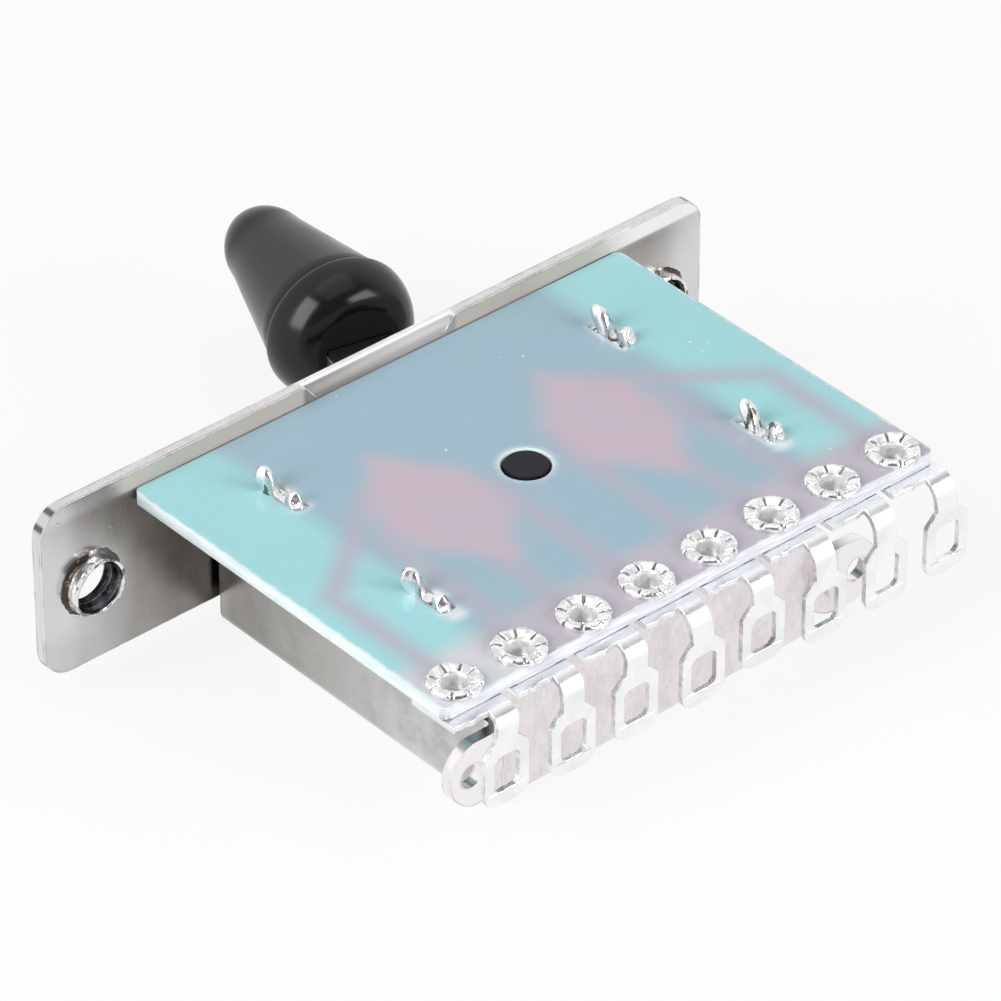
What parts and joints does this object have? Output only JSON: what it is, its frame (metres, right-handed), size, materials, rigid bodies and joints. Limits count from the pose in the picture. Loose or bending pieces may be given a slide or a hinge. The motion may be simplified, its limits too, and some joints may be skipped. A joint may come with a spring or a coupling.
{
  "type": "guitar pickup selector switch",
  "caption": "Lever selector switch for an electric guitar: folded metal case on a slotted mounting plate, circuit board with riveted solder terminals, swinging lever with a black knob.",
  "frame": {"origin": "midway between the two mounting holes, on the outer face of the mounting plate", "axes": "+X along the mounting plate, +Y out of the plate towards the knob, +Z out of the circuit board; the hinge axis is parallel to Z"},
  "size_m": [0.048, 0.0489, 0.0127],
  "materials": {
    "case_steel": "nickel-plated rolled steel, satin",
    "laminate": "glass-epoxy laminate, pale blue-green, slightly see-through",
    "plated_brass": "nickel-plated, rolled",
    "tinned_brass": "tin-plated, bright",
    "copper": "copper foil",
    "black_moulding": "moulded, satin",
    "white_moulding": "moulded, satin",
    "lever_steel": "nickel-plated steel",
    "spring_wire": "spring steel wire",
    "contact_metal": "silvered spring bronze",
    "washer_fibre": "vulcanised fibre",
    "knob_plastic": "moulded, glossy"
  },
  "bodies": {
    "case": {"bracket": "case_steel", "circuit_board": "laminate", "eyelets": "plated_brass", "terminal_1": "tinned_brass", "terminal_2": "tinned_brass", "terminal_3": "tinned_brass", "terminal_4": "tinned_brass", "terminal_5": "tinned_brass", "terminal_6": "tinned_brass", "terminal_7": "tinned_brass", "terminal_8": "tinned_brass", "trace_1": "copper", "trace_2": "copper", "trace_3": "copper", "trace_4": "copper", "trace_5": "copper", "trace_6": "copper", "trace_7": "copper", "trace_8": "copper", "detent_track": "white_moulding", "thrust_washer": "washer_fibre"},
    "lever_arm": {"rotor": "black_moulding", "lever": "lever_steel", "lever_pin": "lever_steel", "knob": "knob_plastic", "detent_ball": "lever_steel", "detent_spring": "spring_wire", "wiper_left": "contact_metal", "wiper_right": "contact_metal", "wiper_rivets": "plated_brass"}
  },
  "joints": [
    {"name": "lever_swing", "type": "hinge", "parent": "case", "child": "lever_arm", "pos_m": [0, -0.01295, 0], "axis": [0, 0, 1], "range_deg": [-13, 39]}
  ]
}
